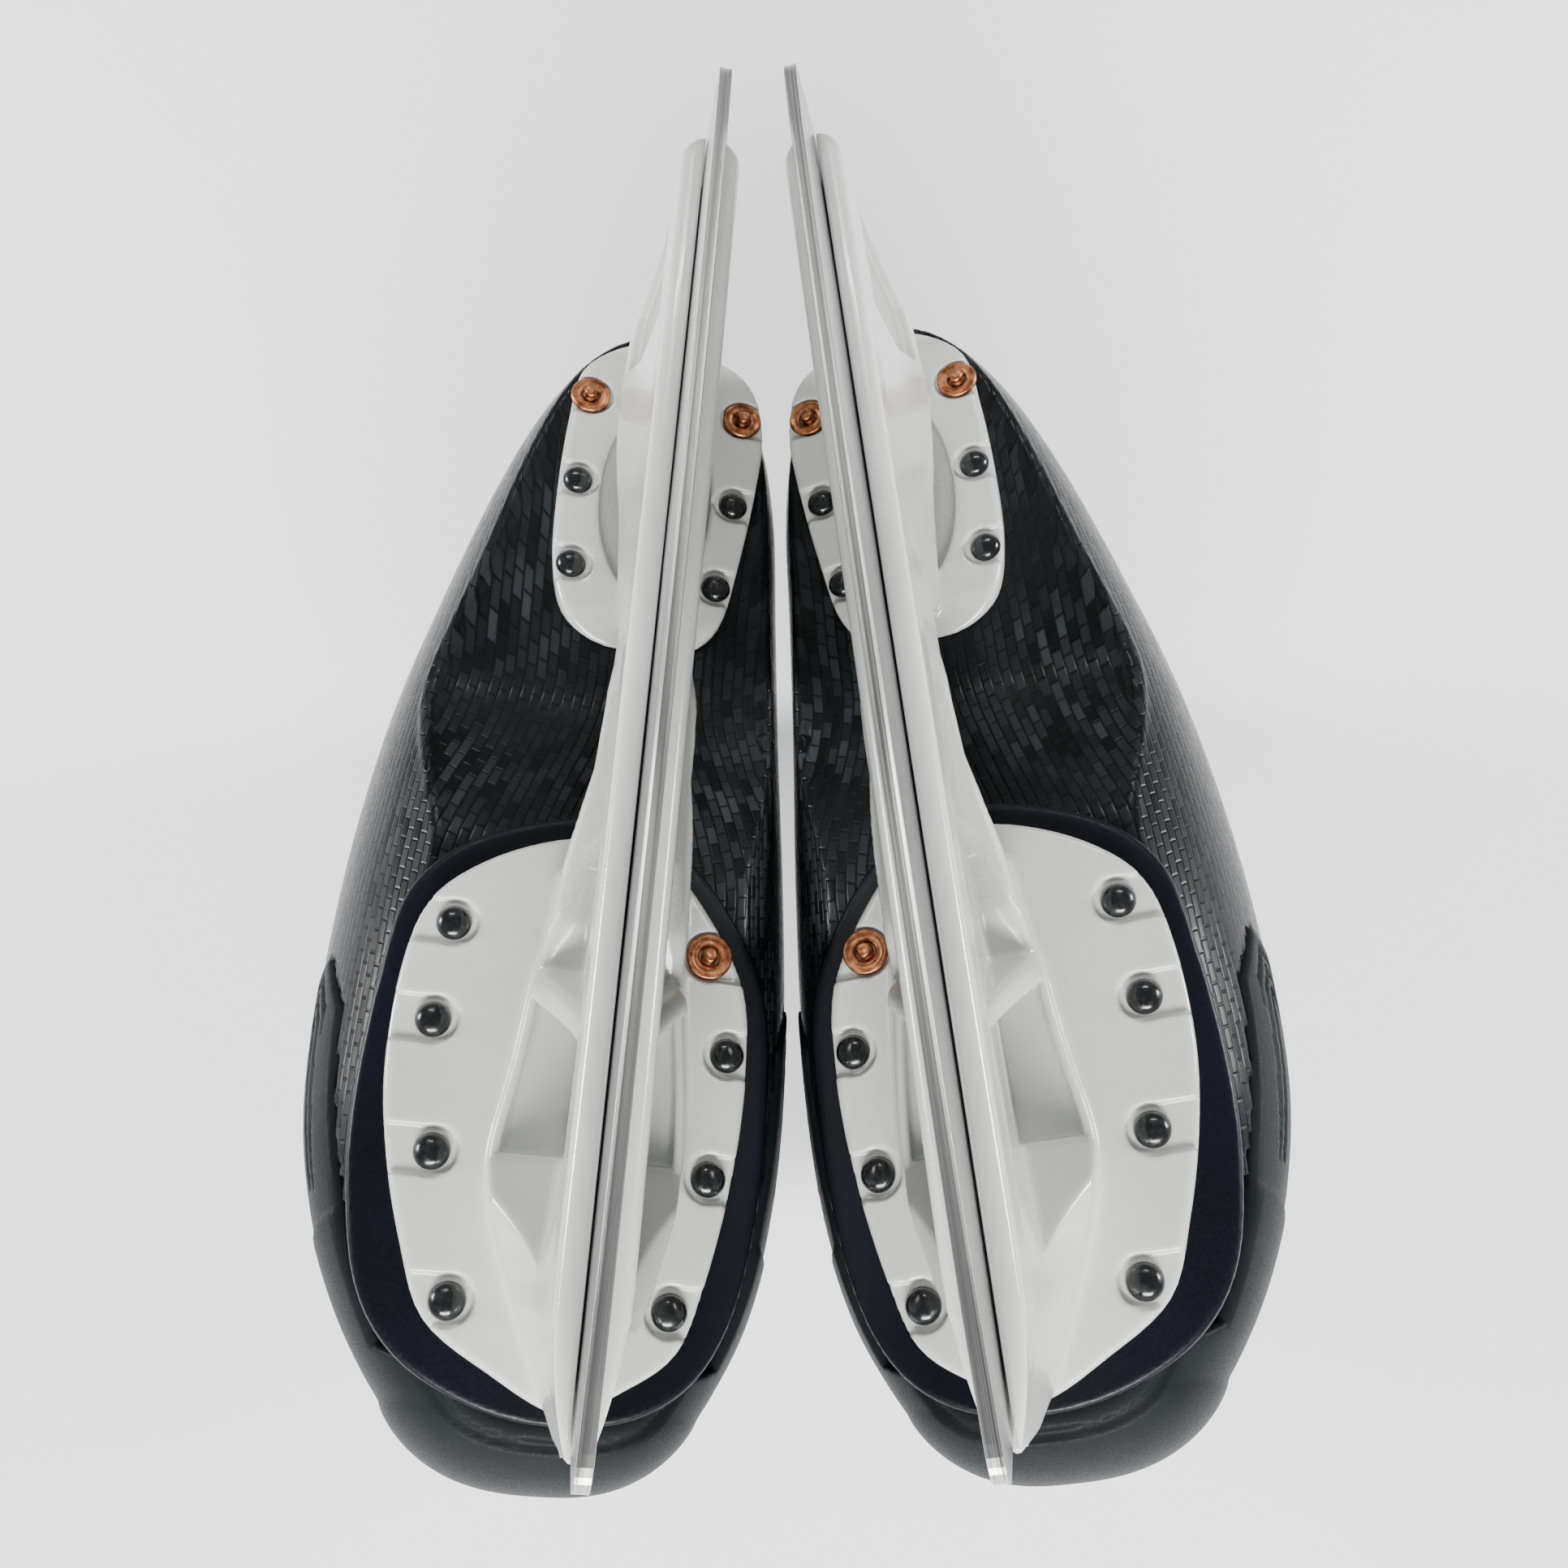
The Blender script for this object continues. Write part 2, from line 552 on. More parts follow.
def rail_field(x, y, z):
    round_heel = np.hypot(x, y - RAIL_HEEL_Y) - RAIL_HALF
    plan = np.where(y > RAIL_HEEL_Y, round_heel, np.abs(x) - RAIL_PLAN(y))
    plan = np.maximum(plan, RAIL_TOE_Y - y)
    top = common(plan, z - RAIL_TOP, RAIL_TOP_ROUND)
    return common(top, RAIL_BOTTOM - z, RAIL_FOOT_ROUND)


def foot_half(x, y):
    return np.where(x < 0, FOOT_OUTER(y), FOOT_INNER(y))


def tower_field(x, y, z):
    """Towers and bridge: sides flare from a neck under the rail to a foot, less the pockets."""
    foot = foot_half(x, y)
    share = np.clip((RAIL_BOTTOM + 1 - z) / (RAIL_BOTTOM + 1 - FOOT_LEVEL(y)), 0, 1)
    half = NECK(y) + (foot - NECK(y)) * share ** (1.5 - 0.5 * np.clip((y - 30) / 40, 0, 1))
    under_flange = np.clip((FLANGE_Z - z) / 1.5, 0, 1) * FLANGE_STEP
    hull = 0.85 * (np.abs(x) - half + under_flange)
    hull = common(hull, loop_distance(y, z, np.array(HOLDER_SIDE, float)), 2.4)
    depth = WEB_HALF + 0.13 * np.maximum(0, -86 - y)
    past_web = depth - np.abs(x)
    pockets = [(TOE_POCKET, past_web, 1.0), (BRIDGE_POCKET, WEB_HALF + 0.5 - np.abs(x), 3.0),
               (HEEL_POCKET, half - HEEL_POCKET_DEPTH - np.abs(x), 1.2)]
    for outline, reach, soft in pockets:
        hull = cut(hull, common(loop_distance(y, z, outline), reach, 1.2), soft)
    return hull


def seats_field(x, y, z, places, surface, radius):
    """Seats of the rivets, each open towards the plate's edge."""
    found = None
    for out, heel in places:
        u = -x - out
        ring = np.hypot(u, y - heel) - radius
        way_out = np.maximum(np.abs(y - heel) - radius + 0.3, -u * math.copysign(1, out))
        seat = np.minimum(ring, way_out)
        found = seat if found is None else np.minimum(found, seat)
    return np.maximum(found, surface - SEAT_DEPTH - z)


def plate_field(x, y, z, loop, surface, thick, rim_round):
    plan = loop_distance(-x, y, loop)
    slab = np.maximum(z - surface, surface - thick - z)
    return common(plan, slab, rim_round)


def crescent_reach(x, y):
    """1 on the edge of the heel plate's hollow, and less inside it."""
    return np.sqrt((x / CRESCENT_HALF_X) ** 2 + ((y - CRESCENT_Y) / CRESCENT_HALF_Y) ** 2)


def holder_field(x, y, z):
    front = plate_field(x, y, z, PLATE_LOOPS["front"], FRONT_PLATE, FRONT_PLATE_THICK, 1.6)
    for places, radius in ((FRONT_RIVETS, DOME_SEAT_R), (FRONT_COPPER, COPPER_SEAT_R)):
        front = cut(front, seats_field(x, y, z, places, FRONT_PLATE, radius), SEAT_ROUND)
    heel = plate_field(x, y, z, PLATE_LOOPS["heel"], HEEL_PLATE, HEEL_PLATE_THICK, 1.8)
    bevel = z - HEEL_PLATE - (y - HEEL_BEVEL_Y) * HEEL_BEVEL_SLOPE
    heel = common(heel, bevel / math.hypot(1, HEEL_BEVEL_SLOPE), 1.0)
    crescent = (crescent_reach(x, y) - 1) * 12
    heel = cut(heel, np.maximum(crescent, HEEL_PLATE - CRESCENT_DEPTH - z), 1.2)
    for places, radius in ((HEEL_RIVETS, DOME_SEAT_R), (HEEL_COPPER, COPPER_SEAT_R)):
        heel = cut(heel, seats_field(x, y, z, places, HEEL_PLATE, radius), SEAT_ROUND)
    foot = foot_half(x, y)
    trough = np.maximum(loop_distance(y, z, TOE_POCKET_FLOOR), np.abs(x) - foot + 2.0)
    trough = np.maximum(trough, WEB_HALF - np.abs(x))
    towers = merged(tower_field(x, y, z), np.minimum(front, heel), 1.6)
    towers = cut(towers, trough, 0.8)
    body = merged(towers, rail_field(x, y, z), 0.9)
    slot = np.maximum(np.abs(x) - RUNNER_HALF - SLOT_GAP, SLOT_FLOOR - z)
    return cut(body, slot, 0.4)


def holder_mask(points):
    """1 in the matte recesses under the rail, in the pockets and in the heel plate's hollow."""
    x, y, z = points.T
    under_rail = np.clip((RAIL_BOTTOM + 0.6 - z) / 1.0, 0, 1)
    above_foot = np.clip((z - FOOT_LEVEL(y) - 1.5) / 1.5, 0, 1)
    bridge = np.clip((18 - np.abs(y + 20)) / 8 + 1.5, 0, 1)
    flank = under_rail * above_foot * bridge
    deep, rear = [np.clip((loop_distance(y, z, pocket) + 0.8) / -1.2, 0, 1)
                  for pocket in (TOE_POCKET, HEEL_POCKET)]
    deep = deep * np.clip((y + 93) / 6, 0, 1)
    hollow = np.clip((HEEL_PLATE - 1.6 - z) / 0.5, 0, 1) * (crescent_reach(x, y) < 1)
    return np.clip(flank + deep + rear + hollow, 0, 1)


def add_holder():
    step = 0.7
    points, faces = surface_net(holder_field, (-45.5, -150, -80.5), (34, 143, -16), step)
    add_pair("holder_moulding", points, faces, MATERIALS["white"], "pair",
             ["holder"], holder_mask(points))


# ---- boot ----
NOSE_Y = -138.0
NOSE_LENGTH = 15.2
HEEL_END_Y = 137.0
CUFF_START_Z = -108.0
THROAT_HALF = 25.0
THROAT_SPREAD = 4.0
WELT_SPREAD = 0.75
WELT_HEIGHT = 14.0
BEAD_SIZE = 1.15
CAP_GROOVES = (4.0, 7.6, 11.2)
CAP_WALL = 2.0
FAR = 200.0
FOOT = smooth_table(FOOT_STATIONS)
CUFF = smooth_table(CUFF_STATIONS)


def sole_level(y):
    """The sole's two flats and the S-shaped rise between them."""
    share = np.clip((y + 32) / 58, 0, 1)
    return FRONT_SOLE + (HEEL_SOLE - FRONT_SOLE) * share ** 2 * (3 - 2 * share)


def ring_distance(a, b, half_a, half_b, power, nose=0.0, ahead=0.0):
    """Roughly how far (a, b) is outside a superellipse; nose goes 0 to 1 over a rounded end."""
    half_a = np.maximum(half_a, 0.5)
    half_b = np.maximum(half_b, 0.5)
    reach = (np.abs(a / half_a) ** power + np.abs(b / half_b) ** power + nose ** 1.3) ** (1 / power)
    return np.sqrt(a ** 2 + b ** 2 + ahead ** 2) * (1 - 1 / np.maximum(reach, 0.05))


def boot_field(x, y, z, inset):
    """Foot and cuff, drawn in by the inset, before the sole is cut flat."""
    outside, inside, low, high = [column(np.maximum(y, NOSE_Y)) for column in FOOT]
    half = np.where(x < 0, outside, inside) - inset
    ahead = np.maximum(0, NOSE_Y - y)
    foot = ring_distance(x, z - (low + high) / 2, half, (low - high) / 2 - inset, FOOT_SQUARENESS,
                         ahead / (NOSE_LENGTH - inset), ahead)
    foot = common(foot, y - HEEL_END_Y + inset, 4.0)
    front, back, outside, inside = [column(z) for column in CUFF]
    half = np.where(x < 0, outside, inside) - inset
    depth = (back - front) / 2 - inset
    cuff = ring_distance(x, y - (front + back) / 2, half, depth, CUFF_SQUARENESS)
    cuff = common(cuff, z - CUFF_START_Z, 8.0)
    return merged(foot, cuff, 7.0)


def welt_field(x, y, z):
    """The skirt that spreads under the outsole's edge."""
    drop = FRONT_SOLE - z
    plan = loop_distance(-x, y, OUTSOLE_LOOP) + WELT_SPREAD * drop + 0.6
    return 0.8 * np.maximum(plan, np.maximum(-drop - 0.3, drop - WELT_HEIGHT))


def rim_outline():
    """Side view of what the cuff's rim cuts away, with a dip at the tendon."""
    slope = math.tan(PITCH)
    dip = RIM_Z + RIM_DIP
    back = RIM_Z + slope * 26
    return np.array([(-FAR, RIM_Z - slope * 240), (66, back), (81, back + 3), (97, dip - 4),
                     (106, dip), (FAR, dip), (FAR, -2 * FAR), (-FAR, -2 * FAR)], float)


def toe_outline(grow):
    """Side view of the toe cap and its wing, grown outwards by the clearance."""
    return np.array([(-FAR, -40), (-141 + grow, -40), (-128 + grow, -76 + grow),
                     (-96 + grow, -76 + grow), (-60 + grow, -80 + grow), (-48 + grow, -88),
                     (-52 + grow, -100 - grow), (-74 + grow, -116 - grow), (-97 + grow, -126),
                     (-99 + grow, -180), (-FAR, -180)], float)


def throat_field(x, y, z):
    """The wedge open between the eyelet facings."""
    along = np.array(THROAT_TOP) - np.array(THROAT_TOE)
    along /= np.hypot(*along)
    past_line = -((y - THROAT_TOE[0]) * along[1] - (z - THROAT_TOE[1]) * along[0])
    share = np.clip((THROAT_TOE[1] - z) / (THROAT_TOE[1] - THROAT_TOP[1]), 0, 1)
    return np.maximum(np.abs(x) - THROAT_HALF - THROAT_SPREAD * share, past_line)


def eyelet_places():
    shares = np.arange(EYELETS_PER_SIDE) / (EYELETS_PER_SIDE - 1)
    return [np.array(EYELET_TOE) * (1 - s) + np.array(EYELET_TOP) * s for s in shares]


def ground_height(x, y, z):
    """Millimetres above the ground that the rims rest on."""
    return (LEFT[2][0] * x + LEFT[2][1] * y + LEFT[2][2] * z + LEFT[2][3]) / MM


def shell_field(x, y, z):
    """The hollow boot, less the throat, the rim, the toe cap's place, the ground and the eyelets."""
    side = boot_field(x, y, z, 0)
    sole = z - sole_level(y)
    outer = common(merged(side, welt_field(x, y, z), 2.5), sole, 0.8)
    bead_size = BEAD_SIZE * np.clip((y + 12) / 25, 0, 1) * np.clip((128 - y) / 12, 0, 1)
    outer = merged(outer, np.hypot(side, sole + 0.2) - bead_size, 1.2)
    inner = np.maximum(boot_field(x, y, z, SHELL_WALL), sole + SOLE_WALL)
    shell = cut(outer, inner, 0.5)
    shell = cut(shell, throat_field(x, y, z), 1.5)
    shell = cut(shell, loop_distance(y, z, rim_outline()), 1.8)
    shell = cut(shell, loop_distance(y, z, toe_outline(0.4)), 1.0)
    shell = common(shell, -ground_height(x, y, z), 0.4)
    for place in eyelet_places():
        shell = cut(shell, np.hypot(y - place[0], z - place[1]) - EYELET_HOLE_R, 0.3)
    return shell


def weave_place(points):
    """Two surface coordinates for the weave, in millimetres: round the foot, and along it."""
    x, y, z = points.T
    round_heel = 0.35 + 0.65 * np.clip((y - 30) / 70, 0, 1)
    across = np.abs(x)
    return np.stack([y - round_heel * across, across - z, np.zeros(len(x))], axis=1)


def add_shell():
    step = 1.25
    points, faces = surface_net(shell_field, (-66, -102, -292), (50, 142, -60), step)
    made = add_pair("carbon_shell", points, faces, MATERIALS["carbon"], "pair",
                    ["boot_shell"])
    for side, piece in made.items():
        add_place_layer(piece, "weave", weave_place(points) + np.array(GRAIN_SHIFT[side]))


def cap_field(x, y, z):
    """Toe cap: a bumper in front, and a thinner wing with grooves back along each side."""
    edge = loop_distance(y, z, toe_outline(0))
    bumper = np.clip((-106 - y + 0.25 * (z + 90)) / 1.2, 0, 1)
    outer = boot_field(x, y, z, -0.6 - 0.6 * bumper)
    outer = merged(outer, welt_field(x, y, z), 2.5)
    outer = common(outer, z - FRONT_SOLE - 0.6, 2.0)
    for inward in CAP_GROOVES:
        groove = np.maximum(np.abs(edge + inward) - 0.7, -0.9 - outer)
        groove = np.maximum(groove, -98 - y)
        outer = cut(outer, np.maximum(groove, z + 84), 0.5)
    inner = np.maximum(boot_field(x, y, z, CAP_WALL), z - FRONT_SOLE + 3.0)
    cap = cut(common(outer, edge, 0.9), inner, 0.5)
    welt_line = np.maximum(np.abs(z - FRONT_SOLE + 1.4) - 0.6, -1.2 - outer)
    return cut(cap, welt_line, 0.4)


def add_cap():
    step = 1.0
    points, faces = surface_net(cap_field, (-66, -156, -142), (50, -44, -62), step)
    add_pair("toe_bumper", points, faces, MATERIALS["cap"], "pair", ["toe_cap"])


def outsole_field(x, y, z):
    plan = loop_distance(-x, y, OUTSOLE_LOOP)
    return common(plan, np.maximum(z - OUTSOLE_TOP, FRONT_SOLE - 0.6 - z), 1.6)


def add_outsole():
    points, faces = surface_net(outsole_field, (-51, -143, -70), (40, -13, -63), 0.9)
    add_pair("outsole_plate", points, faces, MATERIALS["outsole"], "pair", ["outsole_pad"])


# ---- runner ----
GRIP_Z = -29.8
GRIP_TOE_Y = -135
GRIP_LENGTH = 268
RUNNER_BEVEL = 0.00012


def runner_profile():
    """Side view of the steel's rockered edge, from tip to tip."""
    shown = [(-150, -9.5), (-149.2, -7.4), (-146, -5.6), (-139, -4.6), (-130, -3.4)]
    shown += [(y, -(ROCKER_RADIUS - math.sqrt(ROCKER_RADIUS ** 2 - y ** 2)))
              for y in range(-120, 129, 8)]
    shown += [(134, -3.6), (141, -4.4), (147, -5.2), (150, -6.4)]
    return smooth_points(shown, closed=False, steps=3)


def add_runner():
    """A band of cross sections: polished sides, ground edge with a hollow along it."""
    edge = runner_profile()
    share = (edge[:, 0] - edge[0, 0]) / (edge[-1, 0] - edge[0, 0])
    foot_y = GRIP_TOE_Y + share * GRIP_LENGTH
    across = np.array([-1.0, -1.0, -0.93, -0.5, 0.0, 0.5, 0.93, 1.0, 1.0]) * RUNNER_HALF
    drop = np.array([0.0, 0.16, 0.0, 0.16, 0.21, 0.16, 0.0, 0.16, 0.0])
    points = []
    for (y, z), low in zip(edge, foot_y):
        for index, (x, sunk) in enumerate(zip(across, drop)):
            foot = index in (0, len(across) - 1)
            points.append((x, low if foot else y, GRIP_Z if foot else z - sunk))
    width = len(across)
    rows = len(edge)
    faces = [(r * width + c, r * width + c + 1, (r + 1) * width + c + 1, (r + 1) * width + c)
             for r in range(rows - 1) for c in range(width - 1)]
    faces += [(r * width, (r + 1) * width, (r + 1) * width + width - 1, r * width + width - 1)
              for r in range(rows - 1)]
    faces += [tuple(range(width))[::-1], tuple((rows - 1) * width + c for c in range(width))]
    mask = np.tile((drop != 0.0) | (np.abs(across) < RUNNER_HALF), rows).astype(float)
    made = add_pair("steel_runner", np.array(points), faces, MATERIALS["steel"], "pair",
                    ["runner"], mask, smooth=False)
    for piece in made.values():
        bevel = piece.modifiers.new("edges", "BEVEL")
        bevel.width = RUNNER_BEVEL
        bevel.segments = 2


# ---- rivets ----
SHANK_DEPTH = 8.0
DOME_R = 3.55
DOME_HEIGHT = 2.1
DOME_FOOT = 0.55


def turned(profile, segments, centre, wobble=0.0):
    """A profile of (radius, height) turned about Z; ends on the axis close it."""
    points = []
    rings = []
    for index, (radius, height) in enumerate(profile):
        if radius == 0:
            rings.append([len(points)])
            points.append((centre[0], centre[1], centre[2] + height))
            continue
        rings.append(list(range(len(points), len(points) + segments)))
        for s in range(segments):
            angle = 2 * math.pi * s / segments
            uneven = (1 + wobble * math.sin(3 * angle + index)
                      + wobble * math.cos(5 * angle - 2 * index))
            points.append((centre[0] + radius * uneven * math.cos(angle),
                           centre[1] + radius * uneven * math.sin(angle), centre[2] + height))
    faces = []
    for low, high in zip(rings[:-1], rings[1:]):
        for s in range(segments):
            t = (s + 1) % segments
            corners = [low[s % len(low)], low[t % len(low)],
                       high[t % len(high)], high[s % len(high)]]
            faces.append(tuple(dict.fromkeys(corners)))
    return points, faces


def together(shapes):
    """Several (points, faces) shapes as one."""
    points, faces = [], []
    for more_points, more_faces in shapes:
        faces += [tuple(i + len(points) for i in face) for face in more_faces]
        points += more_points
    return np.array(points, float), faces


def seat_level(heel):
    return (FRONT_PLATE if heel < 0 else HEEL_PLATE) - SEAT_DEPTH


def dome_profile():
    """Domed head with a thin flat rim, then the shank under it."""
    arc = [(DOME_R * math.cos(a), DOME_FOOT + DOME_HEIGHT * math.sin(a))
           for a in np.linspace(0.12, math.pi / 2, 9)[:-1]]
    foot = [(0, -SHANK_DEPTH), (2.0, -SHANK_DEPTH), (2.0, 0.0), (3.6, 0.0), (3.72, 0.15), (3.72, 0.4)]
    return foot + arc + [(0, 2.65)]


def burr_profile():
    """Copper washer: raised rim, a dished face and a countersunk hole."""
    return [(2.2, 0.0), (4.8, 0.0), (5.0, 0.2), (5.0, 1.1), (4.8, 1.4), (4.4, 1.45), (4.1, 1.25),
            (3.2, 1.15), (2.9, 1.3), (2.6, 1.25), (2.2, 0.8), (2.2, 0.0)]


def stub_profile():
    """Peened end of the copper rivet, snipped and hammered to a rough square."""
    return [(0, -SHANK_DEPTH), (1.95, -SHANK_DEPTH), (1.95, 1.0), (1.7, 1.3), (1.55, 2.2),
            (1.75, 2.8), (1.2, 3.1), (0.5, 2.85), (0, 3.0)]


def add_rivets():
    groups = {"front": FRONT_RIVETS, "heel": HEEL_RIVETS}
    for where, places in groups.items():
        heads = [turned(dome_profile(), 28, (-out, heel, seat_level(heel)))
                 for out, heel in places]
        points, faces = together(heads)
        add_pair(where + "_dome_rivets", points, faces, MATERIALS["black"], "pair",
                 [where + "_rivets"])
    copper = FRONT_COPPER + HEEL_COPPER
    burrs = [turned(burr_profile(), 32, (-out, heel, seat_level(heel)), 0.004)
             for out, heel in copper]
    points, faces = together(burrs)
    add_pair("copper_washers", points, faces, MATERIALS["copper"], "pair", ["copper_burrs"])
    stubs = [turned(stub_profile(), 8, (-out, heel, seat_level(heel)), 0.06)
             for out, heel in copper]
    points, faces = together(stubs)
    add_pair("copper_shanks", points, faces, MATERIALS["copper"], "pair", ["copper_rivets"])


# ---- soft pieces ----
CLOTH_FRAMES = 20
CLOTH_STIFFNESS = 15
CLOTH_QUALITY = 5
ANKLE_Y = 62.0
ANKLE_Z = -182.0
ANKLE_R = 30.0


def vertex_rows(piece, key):
    """Every vertex's 'co' or 'normal' as one row."""
    return np.array([getattr(v, key) for v in piece.data.vertices])


def set_places(piece, points):
    piece.data.vertices.foreach_set("co", points.astype(np.float32).ravel())
    piece.data.update()


def remeshed(node, voxel, shrink=0.0):
    """Even quads over a left CAD piece in the row frame, drawn in by shrink metres."""
    source = frame["nodes"]["left_" + node]
    piece = bpy.data.objects.new("even_" + node, source.data.copy())
    bpy.context.scene.collection.objects.link(piece)
    remesh = piece.modifiers.new("even", "REMESH")
    remesh.mode = "VOXEL"
    remesh.voxel_size = voxel
    remesh.use_smooth_shade = True
    apply_modifiers(piece)
    if shrink:
        set_places(piece, vertex_rows(piece, "co") - vertex_rows(piece, "normal") * shrink)
    return piece


def apply_modifiers(piece):
    depsgraph = bpy.context.evaluated_depsgraph_get()
    depsgraph.update()
    mesh = bpy.data.meshes.new_from_object(piece.evaluated_get(depsgraph))
    piece.modifiers.clear()
    piece.data = mesh


def puffed(piece, pressure, most):
    """Cloth simulation under pressure; no point moves further than most metres."""
    start = vertex_rows(piece, "co")
    cloth = piece.modifiers.new("puff", "CLOTH")
    cloth.settings.use_pressure = True
    cloth.settings.uniform_pressure_force = pressure
    cloth.settings.effector_weights.gravity = 0
    cloth.settings.tension_stiffness = CLOTH_STIFFNESS
    cloth.settings.quality = CLOTH_QUALITY
    scene = bpy.context.scene
    for number in range(1, CLOTH_FRAMES + 1):
        scene.frame_set(number)
    apply_modifiers(piece)
    scene.frame_set(1)
    moves = vertex_rows(piece, "co") - start
    length = np.maximum(np.linalg.norm(moves, axis=1, keepdims=True), 1e-9)
    set_places(piece, start + moves * np.minimum(1, most / length))


def subdivided(piece):
    change = piece.modifiers.new("finer", "SUBSURF")
    change.levels = 1
    change.render_levels = 1
    apply_modifiers(piece)


def taken(piece):
    """A made object's points, normals and faces in the skate's own frame; the object goes."""
    back = np.array(LEFT.inverted())
    points = vertex_rows(piece, "co")
    normals = vertex_rows(piece, "normal")
    faces = [tuple(f.vertices) for f in piece.data.polygons]
    bpy.data.objects.remove(piece)
    own_normals = normals @ back[:3, :3].T
    own_normals /= np.maximum(np.linalg.norm(own_normals, axis=1, keepdims=True), 1e-9)
    return points @ back[:3, :3].T + back[:3, 3], own_normals, faces


def valley(distance, width):
    """1 on a line, falling smoothly to 0 at the width."""
    return np.exp(-(distance / width) ** 2)


def add_tongue():
    """Felt tongue with a bound edge, two long channels and cross seams."""
    piece = remeshed("tongue", 0.0030, 0.0009)
    puffed(piece, 4.0, 0.0016)
    subdivided(piece)
    points, normals, faces = taken(piece)
    along, outward = (np.array(v) for v in tongue_axes())
    reach = (points - np.array(TONGUE_ROOT)) @ along
    length = (TONGUE_TOP - TONGUE_ROOT).length
    facing = np.clip(np.abs(normals @ outward) * 1.6 - 0.5, 0, 1)
    half = np.interp(reach / length, [0, 0.25, 0.6, 0.92, 1.0], [9, 19, 23, 25, 20])
    seams = valley(np.abs(points[:, 0]) - half + 4.0, 1.1)
    seams += valley(np.abs(points[:, 0]) - 6.5, 1.3) * (reach > 12) * (reach < length - 14)
    for share in (0.3, 0.52, 0.74):
        seams += 0.7 * valley(reach - share * length, 1.3) * (np.abs(points[:, 0]) < half - 4)
    points = points - normals * (np.clip(seams, 0, 1) * facing * 0.9)[:, None]
    made = add_pair("padded_tongue", points, faces, MATERIALS["tongue"], "{side}_tongue_body",
                    ["tongue"])


def add_liner():
    """Quilted padding inside the shell: ankle pads stand out, with seams round them."""
    piece = remeshed("liner", 0.0026, 0.0003)
    points, normals, faces = taken(piece)
    x, y, z = points.T
    ankle = np.hypot((y - ANKLE_Y) / 1.15, z - ANKLE_Z)
    seams = valley(ankle - ANKLE_R, 1.4) + valley(z + 250, 1.2)
    seams += valley((y + 0.5 * z) + 100, 1.2) * (z < -150)
    inward = np.where(x < 0, normals[:, 0] > 0.3, normals[:, 0] < -0.3)
    sunk = np.clip(seams, 0, 1) * inward * 0.9
    sunk -= np.clip(1 - ankle / ANKLE_R, 0, 1) * inward * 1.2
    points = points - normals * sunk[:, None]
    made = add_pair("quilted_liner", points, faces, MATERIALS["liner"], "pair",
                    ["liner"])


def add_footbed():
    """Insole with pressed channels across its foot side."""
    piece = remeshed("footbed", 0.0022, 0.0002)
    points, normals, faces = taken(piece)
    ribs = valley(np.abs((points[:, 1] + 300) % 16 - 8), 1.2) * (normals[:, 2] < -0.5)
    points = points - normals * (0.5 * ribs)[:, None]
    made = add_pair("pressed_footbed", points, faces, MATERIALS["footbed"], "pair",
                    ["footbed"])


def add_guard():
    """Tendon guard with moulded ribs across its back."""
    piece = remeshed("tendon_guard", 0.0011)
    points, normals, faces = taken(piece)
    ribs = valley(np.abs((points[:, 2] + 300) % 5 - 2.5), 0.9) * (np.abs(points[:, 0]) < 15)
    points = points - normals * (0.6 * ribs * (normals[:, 1] > 0.4))[:, None]
    add_pair("ribbed_guard", points, faces, MATERIALS["guard"], "{side}_guard_body",
             ["tendon_guard"])


def dress_cad_nodes():
    """Materials for the small hardware that keeps its CAD mesh."""
    finishes = {"eyelets": "eyelet", "barrel_nuts": "plated", "runner_bolts": "plated",
                "inner_burrs": "plated"}
    for side in PLACES:
        for node, finish in finishes.items():
            piece = frame["nodes"][side + "_" + node]
            piece.data.materials.clear()
            piece.data.materials.append(MATERIALS[finish])


# ---- studio ----
def add_floor():
    points = np.array([(-6, -6, 0), (6, -6, 0), (6, 6, 0), (-6, 6, 0)], float)
    floor = mesh_object("studio_floor", points, [(0, 1, 2, 3)], smooth=False)
    n = Nodes("studio_paper")
    n.finish(n.ramp(n.noise(n.world_place(1.0), 2.0, 2), (0.90, 0.90, 0.905), (0.93, 0.93, 0.935)),
             Roughness=0.9)
    floor.data.materials.append(n.material)


def add_light(name, place, target, size, power):
    light = bpy.data.lights.new(name, "AREA")
    light.shape = "RECTANGLE"
    light.size, light.size_y = size
    light.energy = power
    lamp = bpy.data.objects.new(name, light)
    lamp.location = place
    lamp.rotation_euler = (Vector(target) - Vector(place)).to_track_quat("-Z", "Y").to_euler()
    bpy.context.scene.collection.objects.link(lamp)


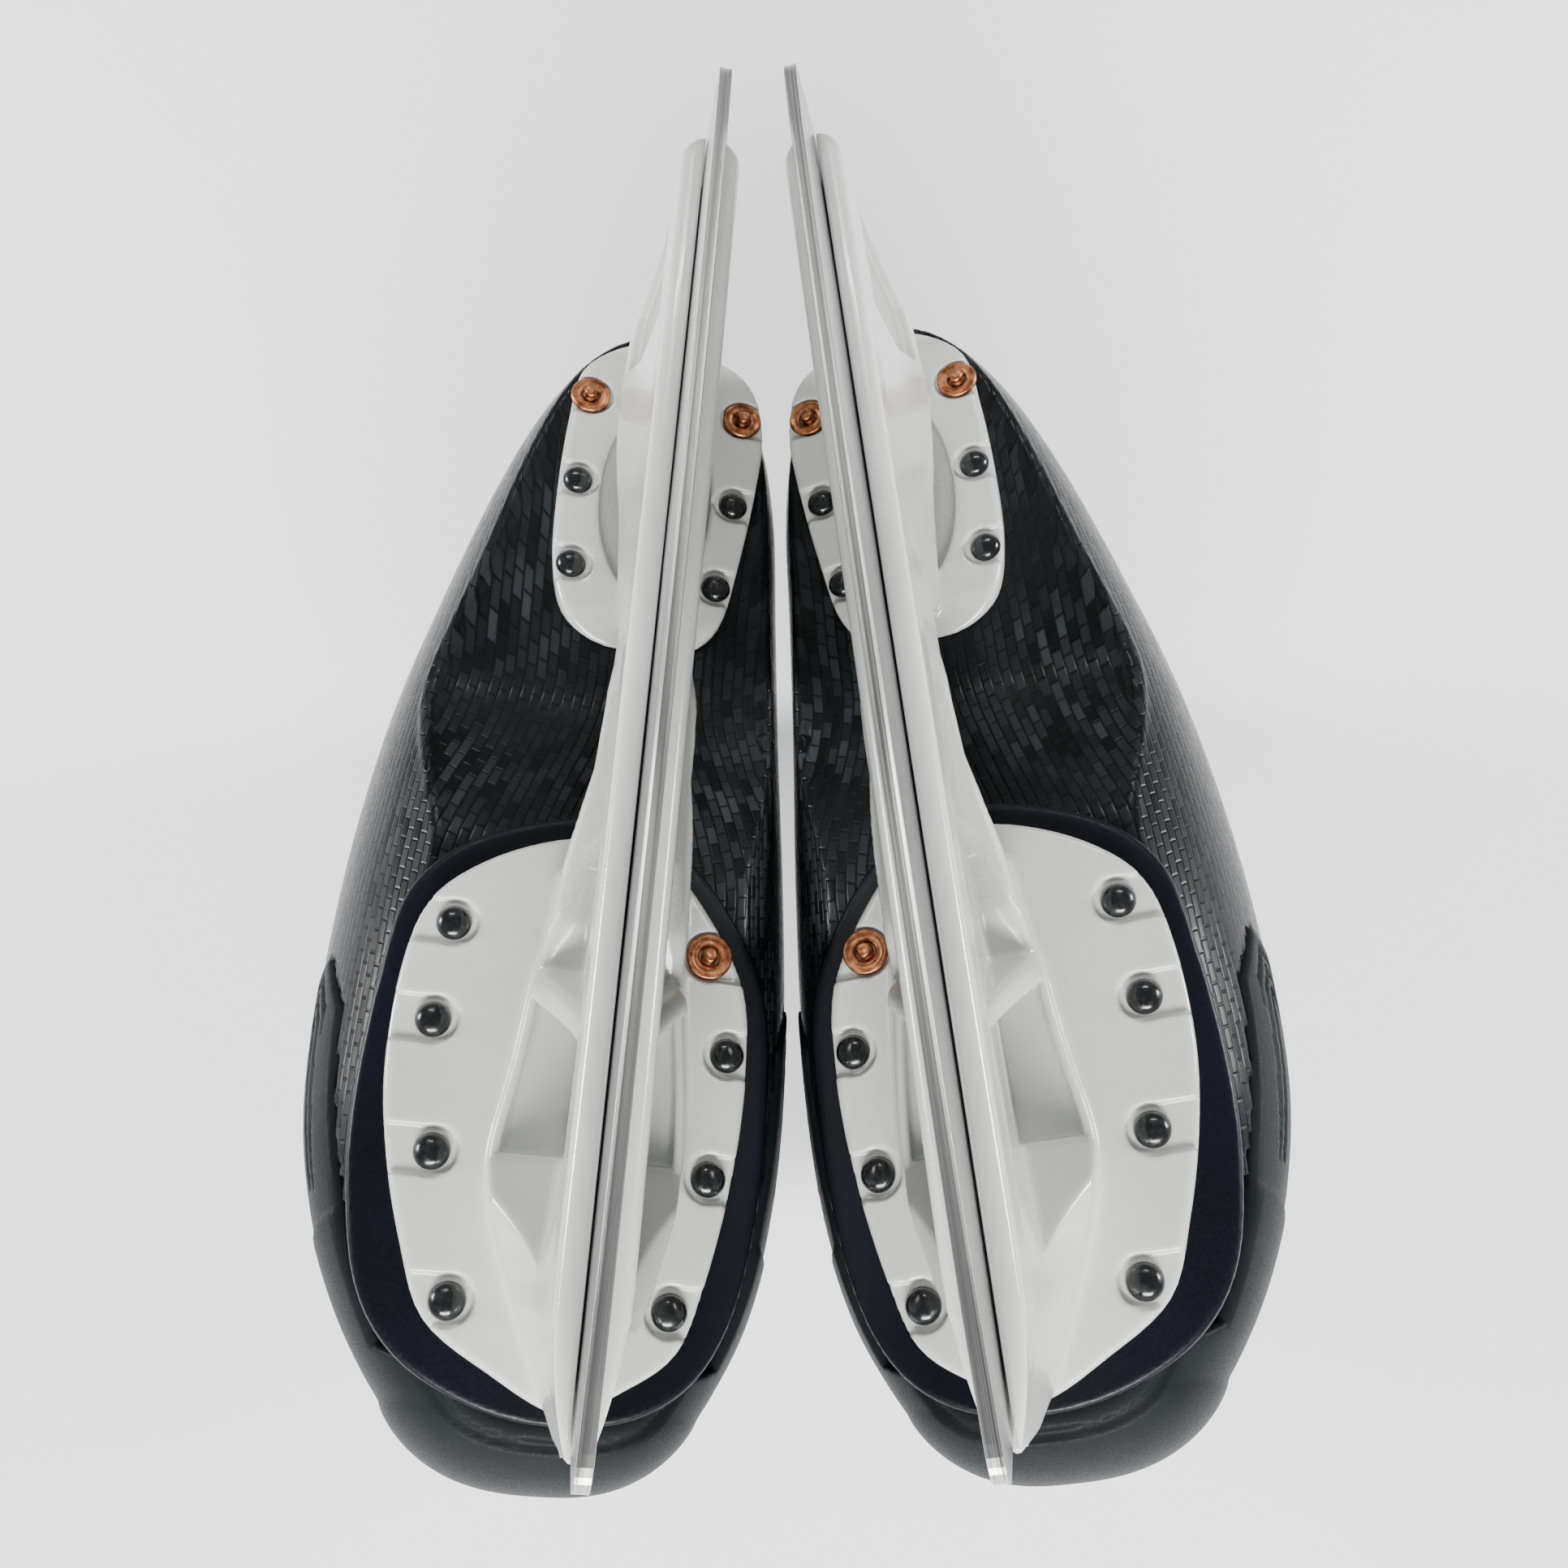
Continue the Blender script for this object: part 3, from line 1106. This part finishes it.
def add_world():
    """A pale horizon that falls off to a dim ceiling, so glossy black stays black."""
    world = bpy.data.worlds.new("studio")
    bpy.context.scene.world = world
    world.use_nodes = True
    tree = world.node_tree
    direction = tree.nodes.new("ShaderNodeTexCoord")
    parts = tree.nodes.new("ShaderNodeSeparateXYZ")
    ramp = tree.nodes.new("ShaderNodeValToRGB")
    shades = ((0.0, (0.80, 0.82, 0.85, 1)), (0.4, (0.30, 0.31, 0.33, 1)))
    for element, (position, colour) in zip(ramp.color_ramp.elements, shades):
        element.position = position
        element.color = colour
    tree.links.new(direction.outputs["Generated"], parts.inputs[0])
    tree.links.new(parts.outputs["Z"], ramp.inputs["Fac"])
    tree.links.new(ramp.outputs["Color"], tree.nodes["Background"].inputs["Color"])
    tree.nodes["Background"].inputs["Strength"].default_value = 0.9


def add_studio():
    add_world()
    add_light("left_box", (-1.7, 0.5, 0.95), (0, 0, 0.15), (0.5, 0.35), 50)
    add_light("right_box", (1.7, 0.5, 0.95), (0, 0, 0.15), (0.5, 0.35), 50)
    add_light("toe_box", (0.0, -1.6, 1.2), (0, 0, 0.2), (1.2, 0.5), 90)
    add_light("heel_strip", (0.0, 1.6, 1.75), (0, 0, 0.25), (0.7, 0.05), 9)


CAMERA_LENS = 35.4
CAMERA_SENSOR = 36
CAMERA_PLACE = (0.0090, -0.1188, 0.5327)
CAMERA_RIGHT = Vector((0.99905, -0.0257, -0.03523))
CAMERA_UP = Vector((0.03574, 0.94556, 0.32345))
CAMERA_BACK = Vector((0.025, -0.3244, 0.94558))


def add_camera():
    data = bpy.data.cameras.new("camera")
    data.sensor_width = CAMERA_SENSOR
    data.lens = CAMERA_LENS
    data.clip_start = 0.01
    camera = bpy.data.objects.new("camera", data)
    turn = Matrix((CAMERA_RIGHT, CAMERA_UP, CAMERA_BACK)).transposed().to_4x4()
    camera.matrix_world = Matrix.Translation(CAMERA_PLACE) @ turn
    bpy.context.scene.collection.objects.link(camera)
    bpy.context.scene.camera = camera


add_camera()
add_studio()
add_floor()
add_holder()
add_shell()
add_cap()
add_outsole()
add_runner()
add_rivets()
add_tongue()
add_liner()
add_footbed()
add_guard()
dress_cad_nodes()
